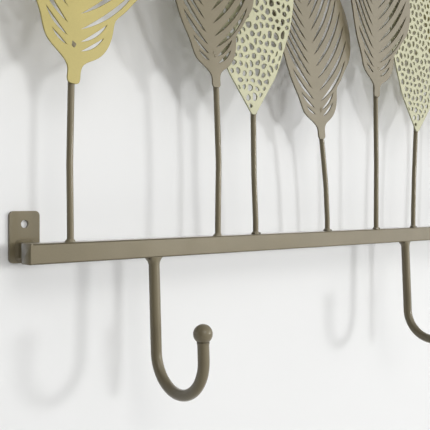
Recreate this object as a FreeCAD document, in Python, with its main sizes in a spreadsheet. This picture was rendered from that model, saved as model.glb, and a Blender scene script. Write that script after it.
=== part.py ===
import FreeCAD, Part
import math
import os
import Sketcher

# Wall-mounted coat rack: a square-tube rail on three standoffs, four ball-tipped J-hooks
# below it, and a row of laser-cut sheet-metal leaves standing on bent wire stems above it.
# Frame: X along the rail, +Z up, -Y towards the room. The wall is the plane Y = 0 and the
# origin is the middle screw hole on the wall.

os.makedirs("parts", exist_ok=True)
doc = FreeCAD.newDocument("leaf_coat_rack")
V = FreeCAD.Vector
pieces = []

# ---------------------------------------------------------------- driving dimensions, mm
DIMENSIONS = [
    ("rail_length", 1000.0),
    ("rail_size", 12.0),
    ("rail_wall", 1.2),
    ("rail_corner", 1.5),
    ("cap_thickness", 1.5),
    ("hook_pitch", 275.0),
    ("hook_rod_dia", 7.2),
    ("hook_bend_radius", 23.9),
    ("hook_shank", 60.6),
    ("hook_tip", 14.2),
    ("hook_lean", 2.5),
    ("hook_lean_radius", 40.0),
    ("hook_straight_top", 6.0),
    ("ball_dia", 11.8),
    ("ball_socket", 3.0),
    ("stem_dia", 4.1),
    ("stem_overlap", 24.0),
    ("sheet_thickness", 1.2),
    ("leaf_length", 212.0),
    ("feather_slot", 2.9),
    ("pebble_leaf_length", 226.0),
    ("pebble_pitch", 6.5),
    ("pebble_web", 2.6),
    ("pebble_rim", 1.3),
    ("wall_gap", 29.0),
    ("standoff_size", 10.0),
    ("standoff_corner", 1.0),
    ("plate_width", 20.0),
    ("plate_height", 32.0),
    ("plate_thickness", 2.0),
    ("plate_corner", 3.0),
    ("plate_below_rail", 2.0),
    ("screw_hole_dia", 5.0),
    ("screw_pitch", 485.0),
    ("screw_above_rail", 10.0),
]
sheet = doc.addObject("Spreadsheet::Sheet", "dims")
for row, (alias, value) in enumerate(DIMENSIONS, start=1):
    sheet.set("A%d" % row, alias)
    sheet.set("B%d" % row, str(value))
    sheet.setAlias("B%d" % row, alias)
doc.recompute()


def dim(alias):
    return float(sheet.get(alias))


HOOK_COUNT = 4
RAIL_TOP = -dim("screw_above_rail")
RAIL_BOTTOM = RAIL_TOP - dim("rail_size")
RAIL_MID_Z = RAIL_TOP - dim("rail_size") / 2
RAIL_BACK = -dim("wall_gap")
RAIL_FRONT = RAIL_BACK - dim("rail_size")
RAIL_MID_Y = RAIL_BACK - dim("rail_size") / 2

# ---------------------------------------------------------------- sketch helpers


def new_body(label):
    body = doc.addObject("PartDesign::Body", "body_" + label)
    body.Label = label
    pieces.append(body)
    return body


def origin_plane(body, role):
    return next(f for f in body.Origin.OriginFeatures if f.Role == role)


def new_sketch(body, role, name):
    sketch = body.newObject("Sketcher::SketchObject", name)
    sketch.AttachmentSupport = [(origin_plane(body, role), "")]
    sketch.MapMode = "FlatFace"
    return sketch


def bind(sketch, index, expression):
    sketch.setExpression("Constraints[%d]" % index, expression)


def add_circle(sketch, centre, radius, expression):
    """A circle fixed at its centre, with its radius bound to the sheet."""
    circle = sketch.addGeometry(Part.Circle(V(centre[0], centre[1], 0), V(0, 0, 1), radius))
    sketch.addConstraint(Sketcher.Constraint("DistanceX", -1, 1, circle, 3, centre[0]))
    sketch.addConstraint(Sketcher.Constraint("DistanceY", -1, 1, circle, 3, centre[1]))
    index = sketch.addConstraint(Sketcher.Constraint("Radius", circle, radius))
    bind(sketch, index, expression)


def add_rounded_box(sketch, width, depth, corner, centre=(0.0, 0.0)):
    """Four lines and four corner arcs, worked out from the sheet's sizes."""
    x0, y0 = centre
    a, b = width / 2, depth / 2
    diagonal = corner * math.sqrt(0.5)
    for sx, sy in ((1, 1), (-1, 1), (-1, -1), (1, -1)):
        cx, cy = x0 + sx * (a - corner), y0 + sy * (b - corner)
        on_side = V(cx + sx * corner, cy, 0)
        on_end = V(cx, cy + sy * corner, 0)
        middle = V(cx + sx * diagonal, cy + sy * diagonal, 0)
        first, last = (on_side, on_end) if sx * sy > 0 else (on_end, on_side)
        sketch.addGeometry(Part.Arc(first, middle, last))
    sides = (
        (V(x0 + a, y0 - b + corner, 0), V(x0 + a, y0 + b - corner, 0)),
        (V(x0 + a - corner, y0 + b, 0), V(x0 - a + corner, y0 + b, 0)),
        (V(x0 - a, y0 + b - corner, 0), V(x0 - a, y0 - b + corner, 0)),
        (V(x0 - a + corner, y0 - b, 0), V(x0 + a - corner, y0 - b, 0)),
    )
    for start, end in sides:
        sketch.addGeometry(Part.LineSegment(start, end))


def pad(body, sketch, name, expression, midplane=False, reverse=False):
    feature = body.newObject("PartDesign::Pad", name)
    feature.Profile = sketch
    feature.setExpression("Length", expression)
    feature.Midplane = midplane
    feature.Reversed = reverse
    return feature


def add_bent_path(sketch, points, radii):
    """Straight runs joined by tangent arcs: radii has one value for each inner point."""
    corners = [V(x, y, 0) for x, y in points]
    start = corners[0]
    for before, corner, after, radius in zip(corners, corners[1:], corners[2:], radii):
        inward = (corner - before).normalize()
        outward = (after - corner).normalize()
        turn = inward.getAngle(outward)
        setback = radius * math.tan(turn / 2)
        arc_start = corner - inward * setback
        arc_end = corner + outward * setback
        towards_centre = (outward - inward).normalize()
        rise = radius / math.cos(turn / 2) - radius
        middle = corner + towards_centre * rise
        sketch.addGeometry(Part.LineSegment(start, arc_start))
        sketch.addGeometry(Part.Arc(arc_start, middle, arc_end))
        start = arc_end
    sketch.addGeometry(Part.LineSegment(start, corners[-1]))


def pipe(body, profile, spine, name):
    feature = body.newObject("PartDesign::AdditivePipe", name)
    feature.Profile = profile
    feature.Spine = (spine, [""])
    return feature


# ---------------------------------------------------------------- rail and end caps


def make_rail():
    body = new_body("rail")
    size, corner, wall = dim("rail_size"), dim("rail_corner"), dim("rail_wall")
    section = new_sketch(body, "YZ_Plane", "rail_section")
    add_rounded_box(section, size, size, corner)
    add_rounded_box(section, size - 2 * wall, size - 2 * wall, corner / 3)
    pad(body, section, "rail_tube", "dims.rail_length - 2 * dims.cap_thickness", midplane=True)
    body.Placement.Base = V(0, RAIL_MID_Y, RAIL_MID_Z)


def make_end_cap(label, side):
    body = new_body(label)
    section = new_sketch(body, "YZ_Plane", label + "_outline")
    add_rounded_box(section, dim("rail_size"), dim("rail_size"), dim("rail_corner"))
    pad(body, section, label + "_plate", "dims.cap_thickness", reverse=side < 0)
    inner_face = dim("rail_length") / 2 - dim("cap_thickness")
    body.Placement.Base = V(side * inner_face, RAIL_MID_Y, RAIL_MID_Z)


# ---------------------------------------------------------------- wall fixings


def make_standoff(label, x):
    body = new_body(label)
    section = new_sketch(body, "XZ_Plane", label + "_section")
    add_rounded_box(section, dim("standoff_size"), dim("standoff_size"), dim("standoff_corner"))
    pad(body, section, label + "_bar", "dims.wall_gap - dims.plate_thickness")
    body.Placement.Base = V(x, -dim("plate_thickness"), RAIL_MID_Z)


def make_wall_plate(label, x):
    """A flat plate against the wall: the standoff's lower end, one screw hole above the rail."""
    body = new_body(label)
    height = dim("plate_height")
    low = RAIL_BOTTOM - dim("plate_below_rail")
    outline = new_sketch(body, "XZ_Plane", label + "_outline")
    centre = (0.0, low + height / 2)
    add_rounded_box(outline, dim("plate_width"), height, dim("plate_corner"), centre)
    add_circle(outline, (0.0, 0.0), dim("screw_hole_dia") / 2, "dims.screw_hole_dia / 2")
    pad(body, outline, label + "_sheet", "dims.plate_thickness")
    body.Placement.Base = V(x, 0, 0)


# ---------------------------------------------------------------- hooks


def hook_path():
    """Points of the hook rod's centre line in its own (Y, Z) plane, from the rail down.

    The shank leans out from the wall a little; the bend is two right-angle arcs of the same
    radius, which meet at the bottom and make one half circle.
    """
    lean = math.radians(dim("hook_lean"))
    radius = dim("hook_bend_radius")
    down = V(-math.sin(lean), -math.cos(lean), 0)
    out = V(-math.cos(lean), math.sin(lean), 0)
    straight_top = dim("hook_straight_top")
    shank_top = V(0, -straight_top, 0)
    bend_start = shank_top + down * (dim("hook_shank") - straight_top)
    corner_in = bend_start + down * radius
    bottom = corner_in + out * radius
    corner_out = corner_in + out * (2 * radius)
    bend_end = corner_out - down * radius
    tip = bend_end - down * dim("hook_tip")
    return shank_top, bend_start, bottom, bend_end, tip, down, out


def make_hook(label, x):
    body = new_body(label)
    section = new_sketch(body, "XY_Plane", label + "_section")
    add_circle(section, (0.0, 0.0), dim("hook_rod_dia") / 2, "dims.hook_rod_dia / 2")
    spine = new_sketch(body, "YZ_Plane", label + "_spine")
    shank_top, bend_start, bottom, bend_end, tip, down, out = hook_path()
    radius = dim("hook_bend_radius")
    lean_radius = dim("hook_lean_radius")
    setback = lean_radius * math.tan(math.radians(dim("hook_lean")) / 2)
    lean_start = shank_top + V(0, setback, 0)
    lean_end = shank_top + down * setback
    rise = lean_radius / math.cos(math.radians(dim("hook_lean")) / 2) - lean_radius
    towards = (down - V(0, -1, 0)).normalize()
    centre = bend_start + out * radius
    spine.addGeometry(Part.LineSegment(V(0, 0, 0), lean_start))
    spine.addGeometry(Part.Arc(lean_start, shank_top + towards * rise, lean_end))
    spine.addGeometry(Part.LineSegment(lean_end, bend_start))
    quarter = (down - out) * (radius * math.sqrt(0.5))
    spine.addGeometry(Part.Arc(bend_start, centre + quarter, bottom))
    quarter = (down + out) * (radius * math.sqrt(0.5))
    spine.addGeometry(Part.Arc(bottom, centre + quarter, bend_end))
    spine.addGeometry(Part.LineSegment(bend_end, tip))
    pipe(body, section, spine, label + "_rod")
    body.Placement.Base = V(x, RAIL_FRONT + dim("hook_rod_dia") / 2, RAIL_BOTTOM)


def make_ball(label, x):
    """A ball with a blind socket that the hook rod's end is seated in."""
    body = new_body(label)
    ball, rod, socket = dim("ball_dia") / 2, dim("hook_rod_dia") / 2, dim("ball_socket")
    mouth = math.sqrt(ball ** 2 - rod ** 2)
    floor = -mouth + socket
    half = new_sketch(body, "XZ_Plane", label + "_profile")
    half.addGeometry(Part.Arc(V(rod, -mouth, 0), V(ball, 0, 0), V(0, ball, 0)))
    half.addGeometry(Part.LineSegment(V(0, ball, 0), V(0, floor, 0)))
    half.addGeometry(Part.LineSegment(V(0, floor, 0), V(rod, floor, 0)))
    half.addGeometry(Part.LineSegment(V(rod, floor, 0), V(rod, -mouth, 0)))
    turned = body.newObject("PartDesign::Revolution", label + "_turned")
    turned.Profile = half
    turned.ReferenceAxis = (half, ["V_Axis"])
    turned.Angle = 360.0
    tip = hook_path()[4]
    lean = math.radians(dim("hook_lean"))
    up = V(0, math.sin(lean), math.cos(lean))
    seat = V(x, RAIL_FRONT + rod + tip.x, RAIL_BOTTOM + tip.y)
    body.Placement = FreeCAD.Placement(seat - up * floor,
                                       FreeCAD.Rotation(V(1, 0, 0), -dim("hook_lean")))


# ---------------------------------------------------------------- feather leaves
# Half outlines as (distance from the axis, height above the neck's end), for a leaf of
# leaf_length. The right side is broad and lobed, the left side narrow and nearly smooth.
FEATHER_RIGHT = [
    (3.2, 0.8), (4.1, 6.0), (5.6, 10.0), (12.5, 14.0), (18.5, 18.5), (22.2, 24.5), (24.1, 31.0),
    (25.6, 37.0), (31.2, 42.5), (37.6, 49.4), (44.0, 56.0), (48.8, 66.5), (50.2, 82.0),
    (47.6, 96.0), (43.4, 109.0), (44.2, 122.0), (41.5, 138.0), (34.5, 153.0), (32.0, 167.0),
    (23.0, 187.0), (10.0, 203.0),
]
FEATHER_LEFT = [
    (3.5, 1.5), (3.6, 8.0), (6.0, 12.8), (11.2, 17.7), (16.2, 23.3), (19.4, 33.7), (23.5, 44.6),
    (27.2, 57.2), (30.0, 72.0), (34.0, 88.0), (38.0, 103.0), (39.0, 118.0), (36.0, 131.0),
    (33.5, 145.0), (30.0, 162.0), (20.0, 183.0), (8.5, 201.0),
]
FEATHER_RIM = 5.0
FEATHER_SOLID_TIP = 12.0
# Each side's vein slots: side, outline, angle of the lowest slot, turn from one slot to the
# next, steepest angle, and height of the lowest slot's root.
FEATHER_VEINS = (
    (1, FEATHER_RIGHT, 33.0, 2.9, 60.0, 17.7),
    (-1, FEATHER_LEFT, 41.0, 6.5, 64.0, 20.3),
)


def half_width(outline, height):
    """Distance from the axis to the outline, read straight between its points."""
    for (u0, v0), (u1, v1) in zip(outline, outline[1:]):
        if v0 <= height <= v1:
            return u0 + (u1 - u0) * (height - v0) / (v1 - v0)
    return 0.0


def add_two_sided_outline(sketch, right, left, length, scale):
    """Two smooth curves from the bottom end round to the pointed top."""
    bottom, top = V(0, 0, 0), V(0, length * scale, 0)
    for side, outline in ((1, right), (-1, left)):
        points = [bottom] + [V(side * u, v, 0) * scale for u, v in outline] + [top]
        curve = Part.BSplineCurve()
        curve.interpolate(points)
        sketch.addGeometry(curve)


def slot_length(outline, root, height, angle):
    """How far a slot can run from its root before it comes too near the leaf's edge or tip."""
    shortest, step = 6.0, 0.5
    length = shortest
    while True:
        u = root + length * math.cos(angle)
        v = height + length * math.sin(angle)
        if u > half_width(outline, v) - FEATHER_RIM or v > dim("leaf_length") - FEATHER_SOLID_TIP:
            return length
        length += step


def feather_slots(scale):
    """Start, end, side and width of each vein slot, on both sides of the tapering midrib."""
    midrib_low, midrib_high, taper_height = 4.6, 3.0, 70.0
    first_gap, gap_growth, widest_gap = 5.0, 1.6, 9.2
    narrowest, growth = 0.9, 0.062
    highest_root = dim("leaf_length") - 42.0
    slots = []
    for side, outline, first_angle, turn, top_angle, height in FEATHER_VEINS:
        number = 0
        while height < highest_root:
            angle = math.radians(min(top_angle, first_angle + turn * number))
            root = midrib_low - (midrib_low - midrib_high) * min(1.0, height / taper_height)
            length = slot_length(outline, root, height, angle)
            start = V(side * root, height, 0) * scale
            axis = V(side * math.cos(angle), math.sin(angle), 0)
            width = min(dim("feather_slot"), narrowest + growth * length)
            slots.append((start, start + axis * (length * scale), side, width))
            height += min(widest_gap, first_gap + gap_growth * number)
            number += 1
    return slots


def add_lens(sketch, start, end, side, width):
    """A slot pointed at both ends: two arcs that bow the same way, outwards and down."""
    along = end - start
    across = V(along.y, -along.x, 0).normalize() * side
    bow = 0.06
    middle = (start + end) * 0.5 + across * (along.Length * bow)
    for offset in (width / 2, -width / 2):
        sketch.addGeometry(Part.Arc(start, middle + across * offset, end))


def make_feather_leaf(label, x, y, height, lean, scale):
    body = new_body(label)
    outline = new_sketch(body, "XZ_Plane", label + "_outline")
    add_two_sided_outline(outline, FEATHER_RIGHT, FEATHER_LEFT, dim("leaf_length"), scale)
    for start, end, side, width in feather_slots(scale):
        add_lens(outline, start, end, side, width)
    pad(body, outline, label + "_sheet", "dims.sheet_thickness")
    body.Placement = FreeCAD.Placement(V(x, y, height), FreeCAD.Rotation(V(0, 1, 0), -lean))


# ---------------------------------------------------------------- pebble-cut leaves
# Half outline of the lance-shaped leaf: straight lower edges, widest near the middle.
PEBBLE_OUTLINE = [
    (2.4, 0.0), (19.5, 22.8), (25.2, 31.5), (31.2, 45.4), (38.8, 63.0), (44.2, 86.0),
    (46.0, 108.0), (43.5, 131.0), (37.0, 155.0), (27.0, 180.0), (14.0, 203.0),
]


def wobble(i, j, k):
    """A repeatable number from -1 to 1 that looks irregular."""
    value = math.sin(12.9898 * i + 78.233 * j + 37.719 * k) * 43758.5453
    return 2.0 * (value - math.floor(value)) - 1.0


def pebble_seeds():
    """The middles of the pebbles: a staggered grid, shaken well out of line."""
    pitch = dim("pebble_pitch")
    row_height = 0.9 * pitch
    shake = 0.34 * pitch
    columns = math.ceil(half_width(PEBBLE_OUTLINE, 108.0) / pitch) + 1
    seeds = []
    for row in range(-1, int(dim("pebble_leaf_length") / row_height) + 2):
        for column in range(-columns, columns + 1):
            u = (column + 0.5 * (row % 2)) * pitch + shake * wobble(row, column, 1)
            v = row * row_height + shake * wobble(row, column, 2)
            seeds.append(V(u, v, 0))
    return seeds


def clipped(corners, point, normal):
    """The part of a convex polygon that lies behind the line through point across normal."""
    kept = []
    for start, end in zip(corners, corners[1:] + corners[:1]):
        start_side, end_side = (start - point).dot(normal), (end - point).dot(normal)
        if start_side <= 0:
            kept.append(start)
        if start_side * end_side < 0:
            kept.append(start + (end - start) * (start_side / (start_side - end_side)))
    return kept


def rim_lines(height):
    """A point on each side's rim at this height, with the direction out of the leaf."""
    step = 0.5
    width = half_width(PEBBLE_OUTLINE, height)
    widening = (half_width(PEBBLE_OUTLINE, height + step) - width) / step
    outwards = V(1, -widening, 0).normalize()
    right = V(width, height, 0) - outwards * dim("pebble_rim")
    return ((right, outwards), (V(-right.x, right.y, 0), V(-outwards.x, outwards.y, 0)))


def pebble_cell(seed, seeds):
    """The room round a seed that is nearer to it than to any other, less half a web all round
    and less the leaf's rim."""
    reach = 2.5 * dim("pebble_pitch")
    cell = [seed + V(x, y, 0) * reach for x, y in ((-1, -1), (1, -1), (1, 1), (-1, 1))]
    for other in seeds:
        gap = other - seed
        if 0 < gap.Length < 2 * reach:
            normal = V(gap).normalize()
            cell = clipped(cell, seed + gap * 0.5 - normal * (dim("pebble_web") / 2), normal)
    for point, outwards in rim_lines(seed.y):
        cell = clipped(cell, point, outwards)
    return cell


def in_pebble_leaf(point):
    """Whether a point is inside the leaf, its solid rim and its solid lower end left out."""
    width = half_width(PEBBLE_OUTLINE, point.y)
    solid_end, narrowest_rim = 3.6, 0.9
    return point.y > solid_end and abs(point.x) < width - narrowest_rim


def pebble_holes():
    """Points round each hole: the middles of a cell's sides, so that a curve rounds its corners."""
    shortest_side, smallest_hole = 0.5, 1.3
    seeds = pebble_seeds()
    holes = []
    for seed in seeds:
        if not in_pebble_leaf(seed):
            continue
        cell = pebble_cell(seed, seeds)
        corners = [a for a, b in zip(cell, cell[1:] + cell[:1]) if (a - b).Length > shortest_side]
        if len(corners) < 4:
            continue
        points = [(a + b) * 0.5 for a, b in zip(corners, corners[1:] + corners[:1])]
        xs, ys = [p.x for p in points], [p.y for p in points]
        if min(max(xs) - min(xs), max(ys) - min(ys)) < smallest_hole:
            continue
        if all(in_pebble_leaf(point) for point in points):
            holes.append(points)
    return holes


def make_pebble_leaf(label, x, y, height, lean):
    """The sheet is cut from a face with one outline and a few hundred small holes, which is
    more than a sketch handles well, so its face is built directly."""
    tip = V(0, dim("pebble_leaf_length"), 0)
    curves = []
    ends = {}
    for side in (1, -1):
        straight_end = V(side * PEBBLE_OUTLINE[1][0], PEBBLE_OUTLINE[1][1], 0)
        start = V(side * PEBBLE_OUTLINE[0][0], PEBBLE_OUTLINE[0][1], 0)
        points = [V(side * u, v, 0) for u, v in PEBBLE_OUTLINE[1:]] + [tip]
        curve = Part.BSplineCurve()
        curve.interpolate(points)
        curves.append(Part.LineSegment(start, straight_end).toShape())
        curves.append(curve.toShape())
        ends[side] = start
    lowest = V(0, -1.0, 0)
    curves.append(Part.Arc(ends[-1], lowest, ends[1]).toShape())
    wires = [Part.Wire(Part.__sortEdges__(curves))]
    for corners in pebble_holes():
        hole = Part.BSplineCurve()
        hole.interpolate(corners, PeriodicFlag=True)
        wires.append(Part.Wire([hole.toShape()]))
    face = Part.makeFace(wires, "Part::FaceMakerBullseye")
    solid = face.extrude(V(0, 0, dim("sheet_thickness")))
    leaf = doc.addObject("Part::Feature", "solid_" + label)
    leaf.Label = label
    pieces.append(leaf)
    leaf.Shape = solid
    upright = FreeCAD.Rotation(V(1, 0, 0), 90)
    leaf.Placement = FreeCAD.Placement(V(x, y, height), FreeCAD.Rotation(V(0, 1, 0), -lean) * upright)


# ---------------------------------------------------------------- stems


def make_stem(label, foot_x, bow, top_x, stem_y, leaf_height, lean, overlap):
    """A wire from the rail's top face to behind the leaf's lower end, bent by hand: its middle
    stands off the straight line by bow."""
    body = new_body(label)
    section = new_sketch(body, "XY_Plane", label + "_section")
    add_circle(section, (0.0, 0.0), dim("stem_dia") / 2, "dims.stem_dia / 2")
    spine = new_sketch(body, "XZ_Plane", label + "_spine")
    tilt = math.radians(lean)
    across = top_x - foot_x
    rise = leaf_height - RAIL_TOP
    upright, below_neck = 9.0, 1.0
    points = [
        (0.0, 0.0),
        (0.0, upright),
        (across / 2 + bow, rise / 2),
        (across, rise - below_neck),
        (across - overlap * math.sin(tilt), rise + overlap * math.cos(tilt)),
    ]
    foot_bend, middle_bend, neck_bend = 60.0, 90.0, 60.0
    add_bent_path(spine, points, (foot_bend, middle_bend, neck_bend))
    pipe(body, section, spine, label + "_wire")
    body.Placement.Base = V(foot_x, stem_y, RAIL_TOP)


# ---------------------------------------------------------------- what stands on the rail
# Leaf name, shape, layer (0 front, 1 middle, 2 back), its wire (foot along the rail, bow of the
# middle, top along the rail), the leaf's lower end (X, and height above the rail), its lean to
# the left in degrees, its scale.
LEAVES = [
    ("a", "feather", 0, (-474.0, -0.7, -473.5), -473.5, 92.9, -0.6, 1.11),
    ("b", "feather", 0, (-359.6, 1.4, -361.1), -362.9, 101.8, 9.3, 0.93),
    ("c", "pebble", 1, (-319.8, -0.5, -322.2), -324.5, 87.6, 1.8, 1.00),
    ("d", "feather", 2, (-235.8, 1.5, -242.4), -245.1, 73.5, 11.9, 1.02),
    ("e", "feather", 0, (-182.0, 0.7, -182.7), -184.7, 112.0, 2.0, 1.00),
    ("f", "pebble", 1, (-122.0, -0.7, -118.0), -120.0, 88.0, -2.5, 1.00),
    ("g", "feather", 2, (-62.0, 0.7, -58.0), -60.0, 100.0, 3.0, 1.11),
    ("h", "feather", 0, (8.0, -0.7, 12.0), 10.0, 84.0, -5.0, 1.02),
    ("i", "pebble", 1, (62.0, 0.7, 62.0), 60.0, 104.0, 2.5, 1.00),
    ("j", "feather", 2, (128.0, -0.7, 135.0), 133.0, 76.0, -6.0, 1.02),
    ("k", "feather", 0, (190.0, 0.7, 189.0), 187.0, 106.0, 4.0, 0.93),
    ("l", "feather", 2, (252.0, 0.7, 250.0), 248.0, 88.0, 5.0, 1.02),
    ("m", "pebble", 1, (300.0, -0.7, 305.0), 303.0, 96.0, -1.5, 1.00),
    ("n", "feather", 0, (360.0, -0.7, 366.0), 364.0, 80.0, -5.0, 1.02),
    ("o", "feather", 2, (418.0, 0.7, 418.0), 416.0, 108.0, 3.0, 1.11),
    ("p", "feather", 1, (474.0, 0.7, 472.0), 470.0, 92.0, 4.0, 0.93),
]


def stem_centre_y(layer):
    """Front stems are flush with the rail's front face, back stems with its back face."""
    radius = dim("stem_dia") / 2
    return RAIL_FRONT + radius + layer * (dim("rail_size") - 2 * radius) / 2


def make_leaf_and_stem(name, kind, layer, wire, leaf_x, height, lean, scale):
    stem_y = stem_centre_y(layer)
    leaf_back = stem_y - dim("stem_dia") / 2
    leaf_z = RAIL_TOP + height
    if kind == "feather":
        make_feather_leaf("leaf_" + name, leaf_x, leaf_back, leaf_z, lean, scale)
        overlap = dim("stem_overlap")
    else:
        make_pebble_leaf("leaf_" + name, leaf_x, leaf_back, leaf_z, lean)
        overlap = dim("stem_overlap") / 3
    foot_x, bow, top_x = wire
    make_stem("stem_" + name, foot_x, bow, top_x, stem_y, leaf_z, lean, overlap)


# ---------------------------------------------------------------- assembly
make_rail()
make_end_cap("end_cap_left", -1)
make_end_cap("end_cap_right", 1)
for name, place in (("left", -1), ("middle", 0), ("right", 1)):
    make_standoff("standoff_" + name, place * dim("screw_pitch"))
    make_wall_plate("wall_plate_" + name, place * dim("screw_pitch"))
for number in range(1, HOOK_COUNT + 1):
    hook_x = (number - (HOOK_COUNT + 1) / 2) * dim("hook_pitch")
    make_hook("hook_%d" % number, hook_x)
    make_ball("hook_ball_%d" % number, hook_x)
for entry in LEAVES:
    make_leaf_and_stem(*entry)
doc.recompute()

# ---------------------------------------------------------------- check and export
for item in doc.Objects:
    if "Invalid" in item.State or "Error" in item.State:
        raise RuntimeError("%s failed: %s" % (item.Label, item.State))
for piece in pieces:
    if piece.Shape.isNull() or not piece.Shape.isValid():
        raise RuntimeError("%s has no valid shape" % piece.Label)
for piece in pieces:
    piece.Shape.exportStep("parts/%s.step" % piece.Label)
print(len(pieces), "pieces written")
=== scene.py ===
import math

import bmesh
import bpy
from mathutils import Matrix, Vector, geometry, noise


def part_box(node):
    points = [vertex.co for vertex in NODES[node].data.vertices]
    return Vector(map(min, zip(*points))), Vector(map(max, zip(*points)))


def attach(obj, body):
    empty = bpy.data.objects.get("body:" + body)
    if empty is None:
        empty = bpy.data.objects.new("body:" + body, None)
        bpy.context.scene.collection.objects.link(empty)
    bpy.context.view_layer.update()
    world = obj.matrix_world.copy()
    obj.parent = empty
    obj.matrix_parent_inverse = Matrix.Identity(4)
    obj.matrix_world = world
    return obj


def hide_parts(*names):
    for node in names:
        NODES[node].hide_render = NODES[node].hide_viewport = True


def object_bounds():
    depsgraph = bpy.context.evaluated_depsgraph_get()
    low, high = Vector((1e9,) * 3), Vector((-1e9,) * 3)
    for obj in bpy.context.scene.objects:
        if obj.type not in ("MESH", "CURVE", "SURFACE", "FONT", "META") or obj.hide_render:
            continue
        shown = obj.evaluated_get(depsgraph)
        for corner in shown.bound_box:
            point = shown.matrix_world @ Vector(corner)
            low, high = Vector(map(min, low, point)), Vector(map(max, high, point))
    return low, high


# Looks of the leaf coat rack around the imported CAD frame: rounded sheet leaves, coats, welds,
# wall, lights and camera. Lengths are metres.

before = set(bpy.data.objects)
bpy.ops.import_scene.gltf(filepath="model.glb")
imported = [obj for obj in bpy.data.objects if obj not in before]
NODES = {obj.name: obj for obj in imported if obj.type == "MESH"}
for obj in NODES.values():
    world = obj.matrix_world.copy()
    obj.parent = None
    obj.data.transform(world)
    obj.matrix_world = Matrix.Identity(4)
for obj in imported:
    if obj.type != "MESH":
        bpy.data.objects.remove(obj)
cad_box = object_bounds()

MM = 0.001
RAIL_LOW, RAIL_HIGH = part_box("rail")
LEAF_LETTERS = "abcdefghijklmnop"
HOOK_NUMBERS = (1, 2, 3, 4)
FIXING_SIDES = ("left", "middle", "right")
BARS = ("rail", "end_cap_left", "end_cap_right")

# ---------------------------------------------------------------- camera
CAMERA_FROM_RAIL_END = 184.05 * MM   # left of the rail's left end, its cap included
CAMERA_TO_RAIL_FRONT = 375.15 * MM
CAMERA_OVER_RAIL_TOP = 24.57 * MM
CAMERA_TURN = math.radians(-40.47)
CAMERA_LENS = 60.28
CAMERA_SENSOR_WIDTH = 36
CAMERA_SHIFT_Y = -0.034
CAMERA_CLIP_START = 0.01


def make_camera():
    data = bpy.data.cameras.new("camera")
    data.lens = CAMERA_LENS
    data.sensor_width = CAMERA_SENSOR_WIDTH
    data.shift_y = CAMERA_SHIFT_Y
    data.clip_start = CAMERA_CLIP_START
    camera = bpy.data.objects.new("camera", data)
    camera.location = (
        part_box("end_cap_left")[0].x - CAMERA_FROM_RAIL_END,
        RAIL_LOW.y - CAMERA_TO_RAIL_FRONT,
        RAIL_HIGH.z + CAMERA_OVER_RAIL_TOP,
    )
    camera.rotation_euler = (math.radians(90), 0, CAMERA_TURN)
    bpy.context.scene.collection.objects.link(camera)
    bpy.context.scene.camera = camera


# ---------------------------------------------------------------- shader nodes
NOISE_LOW = 0.3                      # most of a noise value lies between these two
NOISE_HIGH = 0.7
MIX_SOCKETS = (0, 6, 7)              # factor and two colours of a Mix node that mixes colours
MIX_RESULT = 2


def new_material(name):
    material = bpy.data.materials.new(name)
    material.use_nodes = True
    return material, material.node_tree


def feed(tree, socket, value):
    """Link the value to the socket where it is another node's output, or else set it."""
    if isinstance(value, bpy.types.NodeSocket):
        tree.links.new(value, socket)
    else:
        socket.default_value = value


def feed_inputs(tree, node, **inputs):
    """Feed a node's inputs by name, spaces written as underscores."""
    for name, value in inputs.items():
        feed(tree, node.inputs[name.replace("_", " ")], value)


def add_node(tree, kind, **inputs):
    node = tree.nodes.new(kind)
    feed_inputs(tree, node, **inputs)
    return node


def object_coordinates(tree):
    return tree.nodes.new("ShaderNodeTexCoord").outputs["Object"]


def camera_ray(tree):
    """1 for what the camera sees directly, 0 for light that bounces."""
    return tree.nodes.new("ShaderNodeLightPath").outputs["Is Camera Ray"]


def noise_value(tree, coordinates, scale, detail, roughness=0.5):
    node = add_node(tree, "ShaderNodeTexNoise", Vector=coordinates, Scale=scale, Detail=detail,
                    Roughness=roughness)
    return node.outputs["Fac"]


def spread(tree, value, low, high):
    """The noise value stretched over low to high."""
    node = add_node(tree, "ShaderNodeMapRange", Value=value, From_Min=NOISE_LOW, From_Max=NOISE_HIGH,
                    To_Min=low, To_Max=high)
    return node.outputs["Result"]


def mixed_colour(tree, factor, first, second, blend="MIX"):
    node = tree.nodes.new("ShaderNodeMix")
    node.data_type = "RGBA"
    node.blend_type = blend
    for number, value in zip(MIX_SOCKETS, (factor, first, second)):
        feed(tree, node.inputs[number], value)
    return node.outputs[MIX_RESULT]


def bumped(tree, height, strength, depth):
    """A normal roughened by the height value."""
    node = add_node(tree, "ShaderNodeBump", Height=height, Strength=strength, Distance=depth)
    return node.outputs["Normal"]


def scaled(colour, factor):
    return tuple(min(1.0, c * factor) for c in colour) + (1.0,)


# ---------------------------------------------------------------- materials
COLOURS = {
    "taupe_metal": (0.186, 0.157, 0.097),
    "gold_metal": (0.500, 0.420, 0.145),
    "pale_gold_metal": (0.480, 0.474, 0.300),
}
COAT_ROUGHNESS = 0.38
COAT_VARIATION = 0.06                # of tone, as a share
PAINTED_SHADE_SHARE = 0.5                     # of the taupe, darker to paint the shade that falls in seams and creases
SEAM_ROUGHNESS = 0.5
SEAM_VARIATION = 0.2
COAT_IOR = 1.5
WARM_SHINE = (1.0, 0.93, 0.76, 1.0)
CLEAR_LAYER = 0.4
CLEAR_LAYER_ROUGHNESS = 0.1
CLOUD_SCALE = 28.0                   # scales are noise cells to the metre
FLAKE_SCALE = 2600.0
FLAKE_DARK = 0.93
FLAKE_LIGHT = 1.05
GLOSS_SCALE = 90.0
GLOSS_SPREAD = 0.05
PEEL_SCALE = 620.0
PEEL_STRENGTH = 0.35
PEEL_DEPTH = 0.06 * MM

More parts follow.
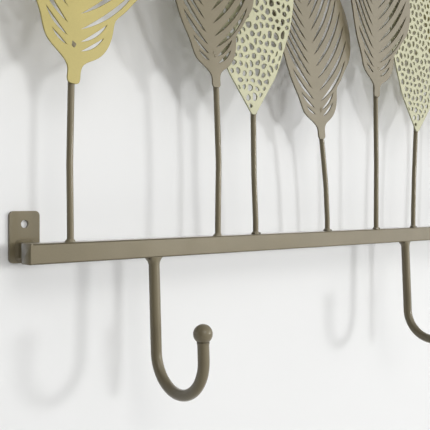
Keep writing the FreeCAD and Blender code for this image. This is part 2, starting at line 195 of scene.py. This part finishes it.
WALL_DARK = (0.845, 0.845, 0.835, 1)
WALL_LIGHT = (0.875, 0.875, 0.865, 1)
WALL_ROUGHNESS = 0.6
WALL_SHINE = 0.25
WALL_CLOUD_SCALE = 2.5
ROLLER_SCALE = 260.0
ROLLER_STRENGTH = 0.12
ROLLER_DEPTH = 0.05 * MM
FLOOR_COLOUR = (0.72, 0.71, 0.69, 1)
FLOOR_ROUGHNESS = 0.7
FLOOR_GLOW = 0.35


def flake_speckle(tree, coordinates):
    """Fine grains of grey about white, for a colour to be multiplied by."""
    flakes = noise_value(tree, coordinates, FLAKE_SCALE, detail=2.0, roughness=0.7)
    grey = spread(tree, flakes, FLAKE_DARK, FLAKE_LIGHT)
    return add_node(tree, "ShaderNodeCombineColor", Red=grey, Green=grey, Blue=grey).outputs["Color"]


def powder_coat(name, colour, roughness, variation):
    """Satin powder coat with a warm shine, orange peel, fine speckle, and clouds of tone and gloss."""
    material, tree = new_material(name)
    tree.nodes.clear()
    coordinates = object_coordinates(tree)
    clouds = noise_value(tree, coordinates, CLOUD_SCALE, detail=3.0)
    tone = mixed_colour(tree, spread(tree, clouds, 0.0, 1.0),
                        scaled(colour, 1.0 - variation), scaled(colour, 1.0 + variation))
    gloss = noise_value(tree, coordinates, GLOSS_SCALE, detail=3.0)
    peel = noise_value(tree, coordinates, PEEL_SCALE, detail=2.0, roughness=0.45)
    shader = add_node(
        tree, "ShaderNodeBsdfPrincipled",
        Base_Color=mixed_colour(tree, 1.0, tone, flake_speckle(tree, coordinates), "MULTIPLY"),
        Roughness=spread(tree, gloss, roughness - GLOSS_SPREAD, roughness + GLOSS_SPREAD),
        Normal=bumped(tree, peel, PEEL_STRENGTH, PEEL_DEPTH),
        IOR=COAT_IOR,
        Specular_Tint=WARM_SHINE,
        Coat_Weight=CLEAR_LAYER,
        Coat_Roughness=CLEAR_LAYER_ROUGHNESS,
    )
    add_node(tree, "ShaderNodeOutputMaterial", Surface=shader.outputs["BSDF"])
    return material


def wall_paint():
    """White wall paint with a faint roller texture; seen from behind the wall isn't there."""
    material, tree = new_material("wall_paint")
    coordinates = object_coordinates(tree)
    clouds = noise_value(tree, coordinates, WALL_CLOUD_SCALE, detail=2.0)
    roller = noise_value(tree, coordinates, ROLLER_SCALE, detail=3.0)
    shader = tree.nodes["Principled BSDF"]
    feed_inputs(
        tree, shader,
        Base_Color=mixed_colour(tree, clouds, WALL_DARK, WALL_LIGHT),
        Roughness=WALL_ROUGHNESS,
        Specular_IOR_Level=WALL_SHINE,
        Normal=bumped(tree, roller, ROLLER_STRENGTH, ROLLER_DEPTH),
    )
    from_behind = tree.nodes.new("ShaderNodeNewGeometry").outputs["Backfacing"]
    see_through = tree.nodes.new("ShaderNodeBsdfTransparent")
    mix = add_node(tree, "ShaderNodeMixShader", Fac=from_behind)
    feed(tree, mix.inputs[1], shader.outputs["BSDF"])
    feed(tree, mix.inputs[2], see_through.outputs["BSDF"])
    feed_inputs(tree, tree.nodes["Material Output"], Surface=mix.outputs["Shader"])
    return material


def floor_paint():
    """Pale grey; the camera sees it with a glow of its own, and nothing is lit by that."""
    material, tree = new_material("floor_paint")
    glow = tree.nodes.new("ShaderNodeMath")
    glow.operation = "MULTIPLY"
    feed(tree, glow.inputs[0], camera_ray(tree))
    feed(tree, glow.inputs[1], FLOOR_GLOW)
    feed_inputs(
        tree, tree.nodes["Principled BSDF"],
        Base_Color=FLOOR_COLOUR,
        Roughness=FLOOR_ROUGHNESS,
        Emission_Color=FLOOR_COLOUR,
        Emission_Strength=glow.outputs["Value"],
    )
    return material


COATS = {
    slot: powder_coat(slot + "_coat", colour, COAT_ROUGHNESS, COAT_VARIATION)
    for slot, colour in COLOURS.items()
}
# A darker copy of the taupe coat that paints shade: the ring under each ball, a spot beside each hook weld
# and the stems' feet.
PAINTED_SHADE_COAT = powder_coat("seam_coat", [PAINTED_SHADE_SHARE * c for c in COLOURS["taupe_metal"]],
                        SEAM_ROUGHNESS, SEAM_VARIATION)


def slot_of(node_name):
    return NODES[node_name].data.materials[0].name.split(".")[0]


def paint_nodes():
    """Give the CAD parts that stay in sight the coats of their slots."""
    for name, node in NODES.items():
        coat = COATS[slot_of(name)]
        for material_slot in node.material_slots:
            material_slot.link = "OBJECT"
            material_slot.material = coat


# ---------------------------------------------------------------- meshes
def new_object(name, bm, material):
    mesh = bpy.data.meshes.new(name)
    bm.to_mesh(mesh)
    bm.free()
    mesh.materials.append(material)
    made = bpy.data.objects.new(name, mesh)
    bpy.context.scene.collection.objects.link(made)
    return made


def add_piece(name, bm, slot, coat=None):
    """A finished mesh as a piece of the rack, in its slot's coat unless it has another."""
    piece = new_object(name, bm, coat or COATS[slot])
    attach(piece, "root")
    return piece


def pairs_round(loop):
    """Each member of a closed loop with the next one."""
    return zip(loop, loop[1:] + loop[:1])


def angles_round(count):
    return [2 * math.pi * i / count for i in range(count)]


def directions_across(axis):
    """X, and the direction square to it and to the axis."""
    side = Vector((1, 0, 0))
    return side, axis.cross(side).normalized()


def bridge(bm, first, second):
    """Smooth faces between two closed rings of as many corners."""
    for i in range(len(first)):
        j = (i + 1) % len(first)
        bm.faces.new((first[i], first[j], second[j], second[i])).smooth = True


# ---------------------------------------------------------------- leaves
RIM = 0.22 * MM                      # rounding of the coated sheet edges
RIM_STEPS = 2
OUTLINE_TOLERANCE = 0.016 * MM       # how far a point that is left out may lie from the line
SAME_POINT = 1e-6
NEARLY_ZERO = 1e-9
TURNS_BACK = 1e-6                    # the sum of two opposite directions is shorter
LEAST_LEAN = 0.5                     # these two keep the inset of a sharp corner short
LONGEST_INSET = 1.6
INSIDE_OUTLINES = 1                  # delaunay_2d_cdt: triangles inside the outlines only
NO_CORNER = -1


def front_edges(node_name):
    """For each corner of a sheet's flat front face, the corners that its outlines go on to.

    Corners count steps of SAME_POINT in x and z, and edges between two faces cancel out.
    """
    mesh = NODES[node_name].data
    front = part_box(node_name)[0].y
    corners = [(round(v.co.x / SAME_POINT), round(v.co.z / SAME_POINT)) for v in mesh.vertices]
    on_front = [abs(v.co.y - front) < SAME_POINT for v in mesh.vertices]
    following = {}
    for polygon in mesh.polygons:
        if not all(on_front[i] for i in polygon.vertices):
            continue
        for start, end in pairs_round([corners[i] for i in polygon.vertices]):
            if start in following.get(end, ()):
                following[end].remove(start)
            else:
                following.setdefault(start, set()).add(end)
    return following


def front_loops(node_name):
    """The outlines of a sheet's front face as (x, z) points, the outer one first, metal on their left."""
    following = front_edges(node_name)
    loops = []
    for start in following:
        while following[start]:
            loop = []
            here = start
            while following.get(here):
                loop.append(here)
                here = following[here].pop()
            loops.append([Vector((x * SAME_POINT, z * SAME_POINT)) for x, z in loop])
    loops = [thinned(loop) for loop in loops if len(loop) > 2]
    loops.sort(key=lambda loop: -abs(signed_area(loop)))
    for number, loop in enumerate(loops):
        is_hole = number > 0
        if (signed_area(loop) > 0) == is_hole:
            loop.reverse()
    return loops


def signed_area(loop):
    """Positive where the loop runs anticlockwise."""
    return 0.5 * sum(a.x * b.y - b.x * a.y for a, b in pairs_round(loop))


def thinned(loop):
    """The outline without points that lie on the line between their neighbours."""
    kept = [loop[0]]
    start = 0
    for end in range(2, len(loop) + 1):
        a, b = loop[start], loop[end % len(loop)]
        chord = b - a
        length = max(chord.length, NEARLY_ZERO)
        off = max(abs(chord.cross(p - a)) / length for p in loop[start + 1:end])
        if off > OUTLINE_TOLERANCE:
            kept.append(loop[end - 1])
            start = end - 1
    return kept


def inset(loop, distance):
    """The outline moved into the metal on its left by distance."""
    moved = []
    for before, here, after in zip(loop[-1:] + loop[:-1], loop, loop[1:] + loop[:1]):
        a = (here - before).normalized()
        b = (after - here).normalized()
        left = Vector((-a.y - b.y, a.x + b.x))
        if left.length < TURNS_BACK:
            left = Vector((-a.x, -a.y))
        left.normalize()
        lean = max(LEAST_LEAN, left.dot(Vector((-a.y, a.x))))
        moved.append(here + left * min(distance / lean, LONGEST_INSET * distance))
    return moved


def rim_sections(front, back):
    """How far in from the outline, and at which y, the rounded edge runs from the front to the back."""
    turns = [math.radians(90) * k / RIM_STEPS for k in range(RIM_STEPS + 1)]
    sections = [(RIM * (1 - math.sin(t)), front + RIM * (1 - math.cos(t))) for t in turns]
    return sections + [(inward, back - (y - front)) for inward, y in reversed(sections)]


def metal_triangles(triangles, outline):
    """The triangles left of the outline's directed edges, and all that they reach without crossing it."""
    beside = {}
    for number, corners in enumerate(triangles):
        for edge in pairs_round(corners):
            beside.setdefault(edge, []).append(number)
    waiting = [n for edge, numbers in beside.items() if edge in outline for n in numbers]
    reached = set(waiting)
    while waiting:
        for start, end in pairs_round(triangles[waiting.pop()]):
            if (start, end) in outline or (end, start) in outline:
                continue
            for number in beside.get((end, start), ()):
                if number not in reached:
                    reached.add(number)
                    waiting.append(number)
    return [triangles[number] for number in sorted(reached)]


def fill_face(bm, rings, faces_back):
    """The flat face between the outer ring and the rings of the cut-outs."""
    verts = [v for ring in rings for v in ring]
    flat = [Vector((v.co.x, v.co.z)) for v in verts]
    edges = []
    for ring in rings:
        start = len(edges)
        count = len(ring)
        edges += [(start + i, start + (i + 1) % count) for i in range(count)]
    _, _, found, origins, _, _ = geometry.delaunay_2d_cdt(flat, edges, [], INSIDE_OUTLINES, NEARLY_ZERO)
    own = [origin[0] if origin else NO_CORNER for origin in origins]
    triangles = [[own[i] for i in triangle] for triangle in found]
    for corners in metal_triangles(triangles, set(edges)):
        if NO_CORNER in corners or len(set(corners)) < 3:
            continue
        if faces_back:
            corners.reverse()
        bm.faces.new([verts[i] for i in corners])


def make_sheet(node_name):
    """A leaf cut from sheet: the CAD outline and cut-outs, with every coated edge rounded."""
    low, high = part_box(node_name)
    sections = rim_sections(low.y, high.y)
    bm = bmesh.new()
    front_rings = []
    back_rings = []
    for loop in front_loops(node_name):
        rings = []
        for inward, y in sections:
            points = inset(loop, inward) if inward > 0 else loop
            rings.append([bm.verts.new((p.x, y, p.y)) for p in points])
        for here, following in zip(rings, rings[1:]):
            bridge(bm, here, following)
        front_rings.append(rings[0])
        back_rings.append(rings[-1])
    fill_face(bm, front_rings, faces_back=False)
    fill_face(bm, back_rings, faces_back=True)
    bm.normal_update()
    piece = add_piece(node_name.replace("leaf", "leaf_plate"), bm, slot_of(node_name))
    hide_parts(node_name)


# ---------------------------------------------------------------- rail and end caps
BAR_SOFTENING = 0.8 * MM
BAR_SOFTENING_STEPS = 4


def make_bar(node_name):
    """The rail or a cap with its edges along X softened, in place of the sharp-edged CAD solid."""
    low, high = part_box(node_name)
    bm = bmesh.new()
    bmesh.ops.create_cube(bm, size=1.0)
    for vert in bm.verts:
        vert.co = Vector(end if c > 0 else start for c, start, end in zip(vert.co, low, high))
    along = [e for e in bm.edges if abs((e.verts[0].co - e.verts[1].co).normalized().x) > 0.5]
    bmesh.ops.bevel(bm, geom=along, offset=BAR_SOFTENING, segments=BAR_SOFTENING_STEPS, profile=0.5,
                    affect="EDGES")
    for face in bm.faces:
        face.smooth = min(e.calc_length() for e in face.edges) < BAR_SOFTENING
    piece = add_piece(node_name + "_body", bm, slot_of(node_name))
    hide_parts(node_name)


# ---------------------------------------------------------------- weld metal
WELD_SLOT = "taupe_metal"
AROUND = 48
FLARE_STEPS = 10
FLARE_SUNK = 0.06 * MM               # into the rod
FLARE_UNEVEN = 0.35
FLARE_LUMP = 1.6 * MM
SQUARE_CORNER = 1.3                  # a square bar's corner, in half widths, cut short
SEAM_AROUND = 10
BEAD_UNEVEN = 0.3
BEAD_LUMP = 1.8 * MM
BEAD_SUBDIVISIONS = 4
SEED_SHIFT = (7.3, 3.1, 1.7)


def lump(point, seed, size):
    """A smooth uneven value about 0, the same at each run."""
    return noise.noise(point * (1.0 / size) + Vector(seed * shift for shift in SEED_SHIFT))


def make_flare(name, foot, axis, radius, sizes, seed, front_share=1.0, bulge=0.0, square=False):
    """Weld metal round a rod or square bar: sizes are its reach at the foot and its height along the axis.

    Towards the front a rod's weld keeps only front_share of its reach.
    """
    reach, height = sizes
    side, other = directions_across(axis)
    bm = bmesh.new()
    rings = []
    for k in range(FLARE_STEPS + 1):
        t = k / FLARE_STEPS
        run_out = (1 - t) ** 2 + bulge * math.sin(math.pi * t)
        ring = []
        for angle in angles_round(AROUND):
            outward = side * math.cos(angle) + other * math.sin(angle)
            base = radius
            wide = reach * run_out
            if square:
                base /= max(abs(math.cos(angle)), abs(math.sin(angle)))
                base = min(base, SQUARE_CORNER * radius)
            elif outward.y < 0:
                wide *= 1 - (1 - front_share) * abs(outward.y)
            centre = foot + axis * (height * t)
            uneven = 1 + FLARE_UNEVEN * lump(centre + outward * (base + wide), seed, FLARE_LUMP)
            ring.append(bm.verts.new(centre + outward * (base - FLARE_SUNK + wide * uneven)))
        rings.append(ring)
    for lower, upper in zip(rings, rings[1:]):
        bridge(bm, lower, upper)
    bm.faces.new(reversed(rings[0]))
    bm.faces.new(rings[-1])
    bmesh.ops.recalc_face_normals(bm, faces=bm.faces)
    add_piece(name, bm, WELD_SLOT)


def make_shade_ring(name, centre, axis, radius, thickness):
    """A thin dark ring about a rod: painted shade where a ball sits on it."""
    side, other = directions_across(axis)
    bm = bmesh.new()
    rings = []
    for angle in angles_round(AROUND):
        outward = side * math.cos(angle) + other * math.sin(angle)
        ring = []
        for turn in angles_round(SEAM_AROUND):
            out = outward * (radius + thickness * math.cos(turn))
            ring.append(bm.verts.new(centre + out + axis * thickness * math.sin(turn)))
        rings.append(ring)
    for here, following in pairs_round(rings):
        bridge(bm, here, following)
    bmesh.ops.recalc_face_normals(bm, faces=bm.faces)
    add_piece(name, bm, WELD_SLOT, PAINTED_SHADE_COAT)


def make_bead(name, centre, sizes, seed, coat=None):
    """A lumpy drop of weld metal, or a spot of painted shade when given the dark coat; sizes are its half
    widths in x, y and z.
    """
    bm = bmesh.new()
    bmesh.ops.create_icosphere(bm, subdivisions=BEAD_SUBDIVISIONS, radius=1.0)
    for vert in bm.verts:
        at = Vector(c * s for c, s in zip(vert.co, sizes))
        vert.co = centre + at * (1 + BEAD_UNEVEN * lump(at, seed, BEAD_LUMP))
    for face in bm.faces:
        face.smooth = True
    add_piece(name, bm, WELD_SLOT, coat)


# ---------------------------------------------------------------- welds at the hooks and balls
HOOK_WELD = (3.4 * MM, 6.2 * MM)     # reach and height, here and below
HOOK_WELD_SUNK = 0.3 * MM            # into the rail
HOOK_WELD_FRONT = 0.05
HOOK_PIT = (1.5 * MM, 1.3 * MM, 0.8 * MM)
HOOK_PIT_OUT = 0.5 * MM
HOOK_PIT_FORWARD = 0.45              # of the rod's radius
HOOK_PIT_DOWN = 1.1 * MM
HOOK_PIT_SEED = 80
HOOK_LEAN = 2.5                      # degrees that the rod leans at its ball
SEAM_BELOW_CENTRE = 4.75 * MM
SEAM_SUNK = 0.1 * MM
SEAM_THICKNESS = 0.36 * MM
COLLAR = (0.42 * MM, 1.7 * MM)
COLLAR_BELOW_SEAM = 0.3 * MM
COLLAR_BULGE = 0.3
COLLAR_SEED = 60


def hook_radius(number):
    low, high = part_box(f"hook_{number}")
    return (high.x - low.x) / 2


def hook_welds():
    """A smooth fillet over each hook's top, with a dark bead on its left side that paints the shade in the
    fillet's pit.
    """
    for number in HOOK_NUMBERS:
        low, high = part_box(f"hook_{number}")
        radius = hook_radius(number)
        foot = Vector(((high.x + low.x) / 2, high.y - radius, RAIL_LOW.z + HOOK_WELD_SUNK))
        make_flare(f"hook_weld_{number}", foot, Vector((0, 0, -1)), radius, HOOK_WELD, number,
                   front_share=HOOK_WELD_FRONT)
        # a bead in the dark coat: painted shade on the fillet's left side
        pit = foot + Vector((-radius - HOOK_PIT_OUT, -HOOK_PIT_FORWARD * radius, -HOOK_PIT_DOWN))
        make_bead(f"hook_weld_shade_{number}", pit, HOOK_PIT, HOOK_PIT_SEED + number, PAINTED_SHADE_COAT)


def ball_collars():
    """The rod's end, and a dark ring of painted shade under each ball where it is seated on the rod."""
    lean = math.radians(HOOK_LEAN)
    down = Vector((0, -math.sin(lean), -math.cos(lean)))
    for number in HOOK_NUMBERS:
        low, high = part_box(f"hook_ball_{number}")
        radius = hook_radius(number)
        ball = Vector(((low.x + high.x) / 2, (low.y + high.y) / 2, high.z - (high.x - low.x) / 2))
        seat = ball + down * SEAM_BELOW_CENTRE
        # a thin ring in the dark coat: painted shade under the ball
        make_shade_ring(f"ball_shade_ring_{number}", seat, down, radius - SEAM_SUNK, SEAM_THICKNESS)
        make_flare(f"ball_collar_{number}", seat + down * COLLAR_BELOW_SEAM, down, radius, COLLAR,
                   COLLAR_SEED + number, bulge=COLLAR_BULGE)


# ---------------------------------------------------------------- welds at the stems
STEM_END = 1.0 * MM                  # length of a stem's end that is measured
STEM_WELD = (1.5 * MM, 2.4 * MM)
STEM_WELD_SUNK = 0.2 * MM
STEM_WELD_FRONT = 0.3
STEM_WELD_BULGE = 0.35
STEM_WELD_SEED = 20
SMOOTH_FEET = "ab"                   # stems without dark beads of painted shade at their feet
STEM_BEADS = ((-1, "left", 1.2 * MM), (1, "right", 1.8 * MM))   # way in x, name, half width in x
STEM_BEAD_DEPTH = 1.5 * MM
STEM_BEAD_HEIGHT = 0.9 * MM
STEM_BEAD_OUT = 0.5 * MM
STEM_BEAD_FORWARD = 0.3              # of the stem's radius
STEM_BEAD_UP = 0.7 * MM
STEM_BEAD_SEED = 100
LEAF_BEAD = (2.7, 1.5, 3.2)          # half widths in mm
PALE_BEAD_SIZE = 0.7                 # the pale leaves' beads, as a share of the others
PALE_BEAD_UP = 2.6 * MM              # over the leaf's lower tip
LEAF_BEAD_SEED = 140


def stem_top(node_name):
    """Centre x and z of the wire's upper end, behind the leaf."""
    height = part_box(node_name)[1].z - STEM_END
    top = [v.co for v in NODES[node_name].data.vertices if v.co.z > height]
    return sum(p.x for p in top) / len(top), height


def stem_foot(node_name):
    """Centre x, centre y and radius of the stem where it stands on the rail."""
    foot = [v.co for v in NODES[node_name].data.vertices if v.co.z < RAIL_HIGH.z + STEM_END]
    xs = [p.x for p in foot]
    ys = [p.y for p in foot]
    return (min(xs) + max(xs)) / 2, (min(ys) + max(ys)) / 2, (max(ys) - min(ys)) / 2


def stem_foot_shades(letter, foot, radius, number):
    """Dark beads to both sides of a stem's foot, painting the shade where the stem meets the rail."""
    for way, side_name, width in STEM_BEADS:
        place = foot + Vector((way * (radius + STEM_BEAD_OUT), -STEM_BEAD_FORWARD * radius, STEM_BEAD_UP))
        # beads in the dark coat: painted shade at the stem's foot
        make_bead(f"stem_foot_shade_{side_name}_{letter}", place, (width, STEM_BEAD_DEPTH, STEM_BEAD_HEIGHT),
                  STEM_BEAD_SEED + way * number, PAINTED_SHADE_COAT)


def leaf_bead(letter, number):
    """The bead behind a leaf that holds it to its stem."""
    leaf_low, leaf_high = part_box(f"leaf_{letter}")
    top_x, top_z = stem_top(f"stem_{letter}")
    size = 1.0
    if slot_of(f"leaf_{letter}") == "pale_gold_metal":
        top_z = leaf_low.z + PALE_BEAD_UP
        size = PALE_BEAD_SIZE
    sizes = tuple(half * size * MM for half in LEAF_BEAD)
    make_bead(f"leaf_weld_{letter}", Vector((top_x, leaf_high.y, top_z)), sizes, LEAF_BEAD_SEED + number)


def stem_welds():
    """A fillet at each wire's foot, dark beads of painted shade beside most, and a bead behind the leaf.
    """
    for number, letter in enumerate(LEAF_LETTERS):
        foot_x, foot_y, radius = stem_foot(f"stem_{letter}")
        foot = Vector((foot_x, foot_y, RAIL_HIGH.z - STEM_WELD_SUNK))
        make_flare(f"stem_weld_{letter}", foot, Vector((0, 0, 1)), radius, STEM_WELD,
                   STEM_WELD_SEED + number, front_share=STEM_WELD_FRONT, bulge=STEM_WELD_BULGE)
        if letter not in SMOOTH_FEET:
            stem_foot_shades(letter, foot, radius, number)
        leaf_bead(letter, number)


# ---------------------------------------------------------------- welds at the wall fixings
RAIL_WELD = (0.9 * MM, 2.2 * MM)
PLATE_WELD = (1.8 * MM, 2.2 * MM)
FIXING_WELD_SUNK = 0.1 * MM
FIXING_WELD_BULGE = 0.2
FIXING_WELD_SEED = 180


def standoff_welds():
    """Fillets round the square standoffs, at the rail's back and at the wall plate."""
    for number, side in enumerate(FIXING_SIDES):
        low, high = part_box(f"standoff_{side}")
        plate_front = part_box(f"wall_plate_{side}")[0].y
        ends = (("rail", RAIL_HIGH.y, 1, RAIL_WELD), ("plate", plate_front, -1, PLATE_WELD))
        for place, y, way, sizes in ends:
            foot = Vector(((low.x + high.x) / 2, y - way * FIXING_WELD_SUNK, (low.z + high.z) / 2))
            make_flare(f"standoff_weld_{place}_{side}", foot, Vector((0, way, 0)), (high.x - low.x) / 2,
                       sizes, FIXING_WELD_SEED + number, bulge=FIXING_WELD_BULGE, square=True)


# ---------------------------------------------------------------- wall, floor and light
WALL_GAP = 0.2 * MM                  # behind the rack's wall plates
WALL_REACH = 4.0                     # to each side
WALL_TOP = 2.6
FLOOR_HEIGHT = -0.9
FLOOR_REACH = 6.0
LIGHT_TARGET = Vector((-0.35, 0, 0.05))
LIGHT_DISTANCE = 2.6
LIGHTS = {                           # way to the light, its width, power and colour
    "front": ((0.06, -0.99, 0.08), 0.42, 13, (0.97, 0.985, 1.0)),
    "key": ((-0.24, -0.84, 0.44), 1.0, 9, (1.0, 0.985, 0.955)),
    "window_right": ((0.60, -0.79, 0.04), 0.32, 14, (0.98, 0.99, 1.0)),
    "broad_right": ((0.85, -0.52, 0.15), 1.6, 7, (1.0, 0.99, 0.98)),
    "back": ((0.65, 0.74, 0.25), 1.4, 16, (1.0, 0.99, 0.98)),
}
LIGHT_WITHOUT_SHINE = "front"
SKY_COLOUR = (0.98, 0.985, 1.0, 1)
SKY_BRIGHT_SIDE = (0.50, -0.80, 0.30)
SKY_DARKEST_AT = -0.1                # along the bright side's direction
SKY_DARKEST = 0.03
SKY_BRIGHTEST = 0.85
SKY_SEEN = 0.8                       # by the camera


def make_plane(name, corners, material):
    bm = bmesh.new()
    bm.faces.new([bm.verts.new(c) for c in corners])
    plane = new_object(name, bm, material)
    return plane


def make_stage():
    """The wall, which lends the rack no diffuse light and casts no shadow, and the floor."""
    wall_y = cad_box[1].y + WALL_GAP
    wall_corners = [
        (-WALL_REACH, wall_y, FLOOR_HEIGHT),
        (WALL_REACH, wall_y, FLOOR_HEIGHT),
        (WALL_REACH, wall_y, WALL_TOP),
        (-WALL_REACH, wall_y, WALL_TOP),
    ]
    wall = make_plane("wall", wall_corners, wall_paint())
    wall.visible_diffuse = False
    wall.visible_shadow = False
    floor_signs = ((-1, -1), (1, -1), (1, 1), (-1, 1))
    floor_corners = [(x * FLOOR_REACH, y * FLOOR_REACH, FLOOR_HEIGHT) for x, y in floor_signs]
    make_plane("floor", floor_corners, floor_paint())


def make_light(name, direction, size, power, colour):
    """A round lamp that shines at the target from the direction given."""
    data = bpy.data.lights.new(name, "AREA")
    data.shape = "DISK"
    data.size = size
    data.energy = power
    data.color = colour
    light = bpy.data.objects.new(name, data)
    towards = Vector(direction).normalized()
    light.location = LIGHT_TARGET + towards * LIGHT_DISTANCE
    light.rotation_euler = towards.to_track_quat("Z", "Y").to_euler()
    light.visible_camera = False
    light.visible_glossy = name != LIGHT_WITHOUT_SHINE
    bpy.context.scene.collection.objects.link(light)


def make_sky():
    """Light that is brightest from the right in front; the camera sees it even and pale."""
    world = bpy.data.worlds.new("world")
    world.use_nodes = True
    tree = world.node_tree
    facing = tree.nodes.new("ShaderNodeVectorMath")
    facing.operation = "DOT_PRODUCT"
    feed(tree, facing.inputs[0], tree.nodes.new("ShaderNodeTexCoord").outputs["Generated"])
    feed(tree, facing.inputs[1], SKY_BRIGHT_SIDE)
    glow = add_node(tree, "ShaderNodeMapRange", Value=facing.outputs["Value"],
                    From_Min=SKY_DARKEST_AT, From_Max=1.0, To_Min=SKY_DARKEST, To_Max=SKY_BRIGHTEST)
    strength = add_node(tree, "ShaderNodeMix", Factor=camera_ray(tree), A=glow.outputs["Result"],
                        B=SKY_SEEN)
    feed_inputs(tree, tree.nodes["Background"], Color=SKY_COLOUR, Strength=strength.outputs["Result"])
    bpy.context.scene.world = world


make_camera()
make_stage()
for light_name, light_facts in LIGHTS.items():
    make_light(light_name, *light_facts)
make_sky()
bpy.context.scene.view_settings.view_transform = "Standard"
for leaf_letter in LEAF_LETTERS:
    make_sheet(f"leaf_{leaf_letter}")
for bar in BARS:
    make_bar(bar)
hook_welds()
ball_collars()
stem_welds()
standoff_welds()
paint_nodes()
